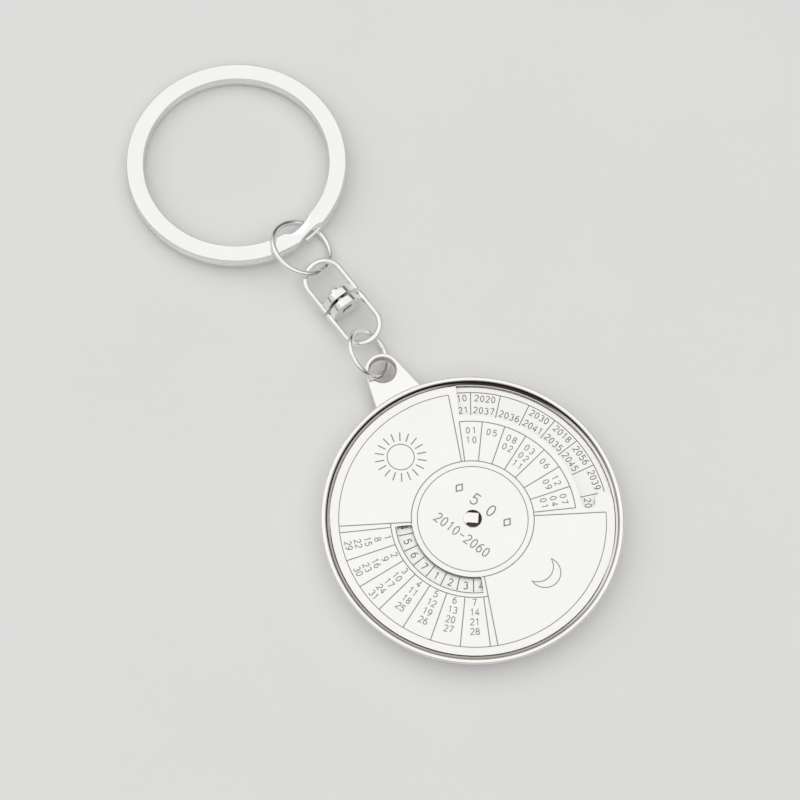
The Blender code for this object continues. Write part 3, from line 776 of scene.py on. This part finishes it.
def strip_station(turn):
    """Height, inner radius and outer radius of the strip after a turn: it necks where it crosses over."""
    upper = (STRIP_THICKNESS + STRIP_SLIT) / 2
    fall = min(max((turn - 2 * math.pi) / CROSSOVER_TURN + 1, 0), 1)
    ease = fall * fall * (3 - 2 * fall)
    neck = math.sqrt(math.sin(math.pi * fall))
    inner = KEY_RING_RADIUS - STRIP_WIDTH + neck * CROSSOVER_INNER_SET
    return upper - 2 * upper * ease, inner, KEY_RING_RADIUS - neck * CROSSOVER_OUTER_SET


def strip_turns():
    """The turns at which the strip has a section, and where its body ends and its tip starts.

    Each mark is a stretch of the strip: (first turn, last turn, number of sections).
    """
    end_gap = STRIP_END_GAP / KEY_RING_RADIUS
    crossover = 2 * math.pi - CROSSOVER_TURN
    body_end = 2 * math.pi + crossover - end_gap
    tip_start = body_end + STRIP_WIDTH / KEY_RING_RADIUS / 2
    tip_end = 4 * math.pi - TIP_GAP / KEY_RING_RADIUS
    nose = TIP_BEVEL / KEY_RING_RADIUS
    marks = [(0, nose, 4), (nose, crossover, 200), (crossover, 2 * math.pi, 24)]
    marks += [(2 * math.pi, body_end, 200), (body_end, tip_start, 3), (tip_start, tip_end, 8)]
    turns = [start + (end - start) * k / steps for start, end, steps in marks for k in range(steps)]
    return turns + [tip_end], body_end, tip_start


def strip_section(turn, height, inner, outer):
    """Rectangle with rounded corners across the strip, in the ring's own frame."""
    half = STRIP_THICKNESS / 2
    cut = min(STRIP_ROUND, (outer - inner) / 3)
    corners = []
    for r, h, start in ((inner + cut, cut - half, 180), (outer - cut, cut - half, 270),
                        (outer - cut, half - cut, 0), (inner + cut, half - cut, 90)):
        corners += arc((r, h), cut, start, start + 90, 4)
    angle = CROSSOVER_BEARING - turn
    return [(r * math.cos(angle), r * math.sin(angle), height + h) for r, h in corners]


def key_ring_piece(material):
    """Two turns of flat strip that cross over once between their free ends."""
    bm = bmesh.new()
    sections, lengths = [], []
    turns, body_end, tip_start = strip_turns()
    for turn in turns:
        height, inner, outer = strip_station(turn)
        share = min(max((turn - body_end) / (tip_start - body_end), 0), 1)
        inner += share * (STRIP_WIDTH - STRIP_TIP_WIDTH)
        inner += max(1 - turn * KEY_RING_RADIUS / TIP_BEVEL, 0) * TIP_CUT
        sections.append([bm.verts.new(point) for point in strip_section(turn, height, inner, outer)])
        lengths.append(turn * KEY_RING_RADIUS)
    count = len(sections[0])
    girth = 2 * (STRIP_WIDTH + STRIP_THICKNESS)
    skin(bm, sections, lengths, [girth * k / count for k in range(count + 1)])
    bmesh.ops.transform(bm, matrix=KEY_RING_PLACE, verts=bm.verts)
    add_piece("key_ring_strip", bm, [material], "key_ring", "split_key_ring", WIRE_SHARP)


def ribbon(bm, points, width, top, closed=False):
    """A flat raised line of the given width; its corners are mitred."""
    line = [Vector(point) for point in points]
    count = len(line)
    rows = []
    for k, point in enumerate(line):
        into = point - line[k - 1] if k or closed else line[1] - line[0]
        out = line[(k + 1) % count] - point if k < count - 1 or closed else into
        into, out = into.normalized(), out.normalized()
        along = (into + out).normalized()
        side = Vector((-along.y, along.x))
        mitre = 1 / max(side.dot(Vector((-into.y, into.x))), MITRE_LIMIT)
        offset = side * width / 2 * mitre
        corners = [(point + offset, top - INK_RISE - INK_SINK), (point - offset, top - INK_RISE - INK_SINK)]
        corners += [(point - offset, top), (point + offset, top)]
        rows.append([bm.verts.new((*place, height)) for place, height in corners])
    for k in range(count if closed else count - 1):
        here, there = rows[k], rows[(k + 1) % count]
        for step in range(4):
            after = (step + 1) % 4
            bm.faces.new((here[step], here[after], there[after], there[step]))
    if not closed:
        bm.faces.new(rows[0])
        bm.faces.new(rows[-1])


def bow(cx, cy, rx, ry, start, end):
    """Points on an upright oval, for one stroke of a glyph."""
    steps = max(2, round(abs(end - start) / BOW_STEP))
    angles = [math.radians(start + (end - start) * k / steps) for k in range(steps + 1)]
    return [(cx + rx * math.cos(a), cy + ry * math.sin(a)) for a in angles]


# Plain monoline numerals in a box 0.6 wide and 1 high: (closed, points) for each stroke
GLYPH_MIDDLE = (0.3, 0.5)
GLYPHS = {
    "0": [(True, bow(0.3, 0.5, 0.26, 0.5, 0, 342))],
    "1": [(False, [(0.12, 0.8), (0.34, 1.0), (0.34, 0.0)])],
    "2": [(False, bow(0.3, 0.72, 0.26, 0.28, 165, -30) + [(0.03, 0.0), (0.58, 0.0)])],
    "3": [(False, bow(0.28, 0.755, 0.24, 0.245, 150, -80)), (False, bow(0.28, 0.26, 0.28, 0.26, 82, -150))],
    "4": [(False, [(0.42, 0.0), (0.42, 1.0), (0.02, 0.28), (0.6, 0.28)])],
    "5": [(False, [(0.54, 1.0), (0.11, 1.0), (0.07, 0.55)] + bow(0.28, 0.32, 0.29, 0.32, 122, -150))],
    "6": [(True, bow(0.3, 0.31, 0.26, 0.31, 0, 342)), (False, bow(0.47, 0.33, 0.43, 0.67, 180, 85))],
    "7": [(False, [(0.03, 1.0), (0.57, 1.0), (0.22, 0.0)])],
    "8": [(True, bow(0.3, 0.75, 0.22, 0.25, 0, 342)), (True, bow(0.3, 0.26, 0.27, 0.26, 0, 342))],
    "9": [(True, bow(0.3, 0.69, 0.26, 0.31, 0, 342)), (False, bow(0.13, 0.67, 0.43, 0.67, 0, -95))],
    "-": [(False, [(0.02, 0.48), (0.58, 0.48)])],
    "o": [(True, [(0.3, 0.92), (0.62, 0.5), (0.3, 0.08), (-0.02, 0.5)])],
}


def write(bm, text, middle, reading, style, top, stretch=1.0):
    """Writes numerals centred on a point; reading is the direction in which they run."""
    height, pitch, width = style
    lift = Vector((-reading.y, reading.x))
    start = -(len(text) - 1) * pitch / 2
    for place, glyph in enumerate(text):
        for order, (closed, stroke) in enumerate(GLYPHS[glyph]):
            points = []
            for x, y in stroke:
                across = start + place * pitch + (x - GLYPH_MIDDLE[0]) * height * stretch
                points.append(middle + reading * across + lift * ((y - GLYPH_MIDDLE[1]) * height))
            ribbon(bm, points, width, top + order * INK_STEP, closed)


def write_between(bm, text, start, end, style, top, stretch=1.0):
    """Writes numerals in the middle of the line from one point to another."""
    write(bm, text, (start + end) / 2, (end - start).normalized(), style, top, stretch)


def outward(bearing):
    """Reading direction of numerals whose heads point away from the middle."""
    return polar(1, bearing + 90)


def inward(bearing):
    """Reading direction of numerals whose heads point to the middle."""
    return polar(1, bearing - 90)


def circle(bm, radius, width, top, start=0, end=360):
    """A ring line, or part of one between two bearings."""
    whole = abs(end - start) >= 360
    steps = max(2, round(abs(end - start) / ARC_STEP))
    bearings = [start + (end - start) * k / steps for k in range(steps if whole else steps + 1)]
    ribbon(bm, [polar(radius, bearing) for bearing in bearings], width, top, whole)


def spoke(bm, bearing, inner, outer, width, top):
    """A straight line along a bearing, from one radius to another."""
    ribbon(bm, [polar(inner, bearing), polar(outer, bearing)], width, top)


# What the dial shows, by column: months by plain number from the outside in, dates from the inside out
MONTH_COLUMNS = (("01", "10"), ("05",), ("08", "02"), ("03", "02", "11"), ("06",), ("12", "09"),
                 ("07", "04", "01"))
MONTH_START = 22.2
MONTH_ROWS = (12.4, 11.06, 9.7)
MONTH_OUTER = 13.7
DATE_START = -67.8
DATE_ROWS = (11.54, 12.86, 14.2, 15.5, 16.8)
DATE_INNER = 10.86
HUB_OUTER = 8.1
HUB_INNER = 7.3
BORDER = 17.65
SLOT_START = -158.2
SLOT_END = -67.4
SLOT_OUTER = 10.15
SLOT_MARGIN = 0.4
# How far out from the slot's edge the painted shadow line lies
SLOT_SHADOW_OFFSET = 0.1
SUN_START = -64.8
SUN_END = 19.1
MOON_START = 115.6
MOON_END = 199.0

# Sun and moon: the sun's middle, the moon's tips and the crowns of its two arcs are (radius, bearing)
SUN_MIDDLE = (12.75, -18.8)
SUN_RADIUS = 1.8
SUN_STEP = 5
RAY_INNER = 2.25
RAY_OUTER = 3.45
RAY_LINE = 0.15
RAY_START = 7
RAYS = 18
OUTLINE = 0.12
MOON_TIPS = ((11.46, 167.2), (11.58, 147.0))
MOON_BACK = (14.0, 157.7)
MOON_HOLLOW = (12.76, 157.2)

# Ends of the span of years and of the title's place, across the hub
SPAN_ENDS = (Vector((-3.92, 2.43)), Vector((-0.75, -4.97)))
SPAN_STRETCH = 0.9
TITLE_ENDS = (Vector((0.57, 4.60)), Vector((3.74, -2.60)))


def dial_lines(bm, top):
    """Hub circles, sector outlines and the two tables' rules."""
    circle(bm, HUB_OUTER, LINE, top, SLOT_END + SLOT_MARGIN, SLOT_START + 360 - SLOT_MARGIN)
    circle(bm, HUB_INNER, FINE_LINE, top)
    lift = top + INK_STEP
    circle(bm, BORDER, FINE_LINE, lift, SUN_START, SUN_END)
    circle(bm, BORDER, FINE_LINE, lift, MOON_START, 360 + SUN_START)
    for bearing in (SUN_START, SUN_END, MOON_START, MOON_END):
        spoke(bm, bearing, HUB_OUTER, BORDER, LINE, top + 2 * INK_STEP)
    circle(bm, MONTH_OUTER, LINE, lift, MONTH_START, MONTH_START + WEEK * COLUMN)
    circle(bm, DATE_INNER, LINE, lift, SUN_START, MOON_END - 360)
    for k in range(WEEK + 1):
        spoke(bm, MONTH_START + k * COLUMN, HUB_OUTER, MONTH_OUTER, LINE, top + 2 * INK_STEP)
        spoke(bm, DATE_START - k * COLUMN, DATE_INNER, BORDER, LINE, top + 2 * INK_STEP)


def slot_print_piece(material):
    """Painted shadow: a dark line in the disc's ink along the weekday slot's outer edge."""
    bm = bmesh.new()
    circle(bm, SLOT_OUTER + SLOT_SHADOW_OFFSET, FINE_LINE, PLATE_TOP + INK_RISE, SLOT_START, SLOT_END)
    add_piece("slot_edge_painted_shadow", bm, [material], "date_dial", None)


def sun_and_moon(bm, top):
    """A ring with short rays, and a crescent."""
    middle = polar(*SUN_MIDDLE)
    ring = [middle + polar(SUN_RADIUS, bearing) for bearing in range(0, 360, SUN_STEP)]
    ribbon(bm, ring, OUTLINE, top, True)
    for k in range(RAYS):
        bearing = RAY_START + 360 / RAYS * k
        ribbon(bm, [middle + polar(RAY_INNER, bearing), middle + polar(RAY_OUTER, bearing)], RAY_LINE, top)
    first, second = polar(*MOON_TIPS[0]), polar(*MOON_TIPS[1])
    outer = bent(first, polar(*MOON_BACK), second, 28)
    inner = bent(first, polar(*MOON_HOLLOW), second, 20)
    ribbon(bm, outer + list(reversed(inner))[1:-1], OUTLINE, top, True)


def bent(first, top, last, steps):
    """Points on the circle's arc that runs from one point over a second to a third."""
    chord, rise = last - first, top - first
    wide, tall = chord.length_squared, rise.length_squared
    offset = Vector((rise.y * wide - chord.y * tall, chord.x * tall - rise.x * wide))
    heart = first + offset / (2 * (chord.x * rise.y - chord.y * rise.x))
    angles = [math.atan2(point.y - heart.y, point.x - heart.x) for point in (first, top, last)]
    sweep = (angles[2] - angles[0]) % (2 * math.pi)
    if (angles[1] - angles[0]) % (2 * math.pi) > sweep:
        sweep -= 2 * math.pi
    radius = (first - heart).length
    turns = [angles[0] + sweep * k / steps for k in range(steps + 1)]
    return [heart + radius * Vector((math.cos(turn), math.sin(turn))) for turn in turns]


def dial_numbers(bm, top):
    """Months, dates, the span of years and the title's place."""
    for k, labels in enumerate(MONTH_COLUMNS):
        bearing = MONTH_START + (k + 0.5) * COLUMN
        for radius, label in zip(MONTH_ROWS, labels):
            write(bm, label, polar(radius, bearing), outward(bearing), MONTH_STYLE, top)
    for k in range(WEEK):
        bearing = DATE_START - (k + 0.5) * COLUMN
        for row, radius in enumerate(DATE_ROWS):
            day = k + 1 + WEEK * row
            if day <= LAST_DATE:
                write(bm, str(day), polar(radius, bearing), inward(bearing), DATE_STYLE, top)
    write_between(bm, "2010-2060", *SPAN_ENDS, SPAN_STYLE, top, SPAN_STRETCH)
    write_between(bm, "o50o", *TITLE_ENDS, TITLE_STYLE, top)


def dial_print_piece(material):
    """All the print on the dial's face; the slot's painted shadow line is made apart."""
    bm = bmesh.new()
    top = PLATE_TOP + INK_RISE
    dial_lines(bm, top)
    sun_and_moon(bm, top)
    dial_numbers(bm, top)
    add_piece("date_dial_print", bm, [material], "date_dial", None)


# Years 2010 to 2060, (outer, inner) in each cell; a row holds the four cells a quarter of the ring apart
YEAR_CELLS = (
    (("2010", "2021"), ("2049", "2027"), ("2032", "2038"), ("2055", "2060")),
    (("2020", "2037"), ("2015", "2026"), ("2043", "2048"), ("2054", "")),
    (("", "2036"), ("2014", "2025"), ("2031", "2042"), ("2053", "2059")),
    (("2030", "2041"), ("2013", "2019"), ("2024", "2047"), ("2052", "2058")),
    (("2018", "2035"), ("2012", "2029"), ("2040", "2046"), ("2057", "")),
    (("2056", "2045"), ("2017", "2023"), ("2028", "2034"), ("2051", "")),
    (("2039", ""), ("2011", "2016"), ("2022", "2033"), ("2044", "2050")),
)
YEAR_START = 15.98
YEAR_RING = (14.0, 18.0)
YEAR_ROWS = (17.2, 15.5)
WEEKDAY_START = -61.16
WEEKDAY_RING = (8.1, 10.1)
WEEKDAY_ROW = 9.1
FIRST_WEEKDAY = 3


def disc_print_piece(material):
    """A ring of year cells and a ring of weekday cells, seen through the dial's windows."""
    bm = bmesh.new()
    top = DISC_TOP + INK_RISE
    circle(bm, YEAR_RING[1], FINE_LINE, top)
    for k in range(RING_CELLS):
        edge = YEAR_START + k * COLUMN
        spoke(bm, edge, *YEAR_RING, FINE_LINE, top + INK_STEP)
        spoke(bm, edge, *WEEKDAY_RING, LINE, top + INK_STEP)
        bearing = edge + COLUMN / 2
        for radius, year in zip(YEAR_ROWS, YEAR_CELLS[k % WEEK][k // WEEK]):
            write(bm, year, polar(radius, bearing), outward(bearing), YEAR_STYLE, top)
        bearing = WEEKDAY_START - (k + 0.5) * COLUMN
        weekday = str((FIRST_WEEKDAY + k) % WEEK + 1)
        write(bm, weekday, polar(WEEKDAY_ROW, bearing), inward(bearing), WEEKDAY_STYLE, top)
    add_piece("year_disc_print", bm, [material], "case", None)


def stage_floor():
    """A wide pale floor with a faint mottling."""
    material = surface("floor", 0.0)
    blend_colours(material, texture(material, FLOOR_MOTTLE, detail=3), *FLOOR_GREY)
    grain = texture(material, FLOOR_GRAIN, detail=2)
    set_roughness(material, spread(material, grain, *FLOOR_ROUGHNESS))
    bm = bmesh.new()
    corners = [(x * FLOOR_REACH, y * FLOOR_REACH, 0) for x, y in ((-1, -1), (1, -1), (1, 1), (-1, 1))]
    bm.faces.new([bm.verts.new(corner) for corner in corners])
    mesh = bpy.data.meshes.new("floor")
    bm.to_mesh(mesh)
    bm.free()
    mesh.materials.append(material)
    floor = bpy.data.objects.new("floor", mesh)
    bpy.context.scene.collection.objects.link(floor)


def height_ramp(nodes, levels):
    """The light's colour by height, from (height, level) pairs."""
    ramp = nodes.new("ShaderNodeValToRGB")
    stops = ramp.color_ramp.elements
    stops.remove(stops[1])
    for position, level in levels:
        stop = stops[0] if position == 0 else stops.new(position)
        stop.position = position
        stop.color = (*(level ** power for power in WARM_TINT), 1)
    return ramp


def studio_world(open_side):
    """A pale room, brightest overhead; a dark band, deepest away from the open side, shows metal's edges."""
    world = bpy.data.worlds.new("studio")
    world.use_nodes = True
    bpy.context.scene.world = world
    nodes, links = world.node_tree.nodes, world.node_tree.links
    place = nodes.new("ShaderNodeTexCoord")
    split = nodes.new("ShaderNodeSeparateXYZ")
    along = nodes.new("ShaderNodeVectorMath")
    along.operation = "DOT_PRODUCT"
    along.inputs[1].default_value = open_side
    share = nodes.new("ShaderNodeMapRange")
    share.interpolation_type = "SMOOTHSTEP"
    share.inputs["From Min"].default_value = OPEN_SIDE_EDGE[0]
    share.inputs["From Max"].default_value = OPEN_SIDE_EDGE[1]
    mixed = nodes.new("ShaderNodeMix")
    mixed.data_type = "RGBA"
    links.new(place.outputs["Generated"], split.inputs["Vector"])
    links.new(place.outputs["Generated"], along.inputs[0])
    links.new(along.outputs["Value"], share.inputs["Value"])
    links.new(share.outputs["Result"], mixed.inputs["Factor"])
    for socket, levels in (("A", SHADED_SIDE), ("B", OPEN_SIDE)):
        ramp = height_ramp(nodes, levels)
        links.new(split.outputs["Z"], ramp.inputs["Fac"])
        links.new(ramp.outputs["Color"], mixed.inputs[socket])
    links.new(mixed.outputs["Result"], nodes["Background"].inputs["Color"])


def soft_light(name, direction, distance, size, watts):
    """A square softbox that faces the keyring's middle."""
    data = bpy.data.lights.new(name, "AREA")
    data.size = size
    data.energy = watts
    item = bpy.data.objects.new(name, data)
    item.location = AIM + direction.normalized() * distance
    item.rotation_mode = "QUATERNION"
    item.rotation_quaternion = direction.to_track_quat("Z", "Y")
    bpy.context.scene.collection.objects.link(item)


right, up = camera()
flat_up = Vector((up.x, up.y, 0)).normalized()
stage_floor()
studio_world(-right)
soft_light("key", -right + flat_up * KEY_TO_TOP + UP * KEY_RISE, KEY_DISTANCE, KEY_SIZE, KEY_WATTS)

casting = plated("nickel_plate")
# Painted shade on the groove, eye lip and rivet skirts; painted shade and a painted highlight on the ledge
ledge_metal = tarnished("dull_ledge", *LEDGE_DULL, *LEDGE_PAINTED_SHADE_AND_HIGHLIGHT)
groove_shade_metal = tarnished("painted_shade_groove", *GROOVE_PAINTED_SHADE, *GROOVE_PAINTED_HIGHLIGHT)
lip_shade_metal = tarnished("painted_shade_lip", *LIP_PAINTED_SHADE)
rivet_skirt_shade = tarnished("rivet_skirt_shade", *SKIRT_PAINTED_SHADE)
wire_metal = drawn_wire("plated_wire_metal")
steel = strip_steel("strip_metal")
# The plate's cut walls carry painted shade
plate_metal = punched("satin_plate", *PLATE_SATIN, PLATE_ROUGHNESS)
sheet_metal = satin("satin_sheet", *SHEET_SATIN, SHEET_ROUGHNESS)
dial_ink = ink("dial_ink", *DIAL_INK)
disc_ink = ink("disc_ink", *DISC_INK)

for name, material in (("date_plate", plate_metal), ("year_disc", sheet_metal)):
    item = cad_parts[name]
    item.data.materials.clear()
    item.data.materials.append(material)
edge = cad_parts["date_plate"].modifiers.new("edge", "BEVEL")
edge.width = PLATE_EDGE_ROUND * MM
edge.segments = 2
edge.limit_method = "ANGLE"

case_piece([casting, ledge_metal, groove_shade_metal, lip_shade_metal])
dial_rivet_piece([casting, rivet_skirt_shade])
jump_ring_piece("small_jump_wire", "small_jump_ring", "small_ring", SMALL_RING_PLACE, SMALL_RING_RADIUS,
                wire_metal)
jump_ring_piece("large_jump_wire", "large_jump_ring", "large_ring", LARGE_RING_PLACE, LARGE_RING_RADIUS,
                wire_metal)
bail_piece("lower_bail_wire", "swivel_lower_bail", "swivel_lower", LOWER_BAIL_PLACE, wire_metal)
bail_piece("upper_bail_wire", "swivel_upper_bail", "swivel_upper", UPPER_BAIL_PLACE, wire_metal)
swivel_rivet_piece(wire_metal)
key_ring_piece(steel)
dial_print_piece(dial_ink)
# Painted shadow along the weekday slot's edge
slot_print_piece(disc_ink)
disc_print_piece(disc_ink)

bpy.context.scene.view_settings.view_transform = "Standard"
bpy.context.view_layer.update()
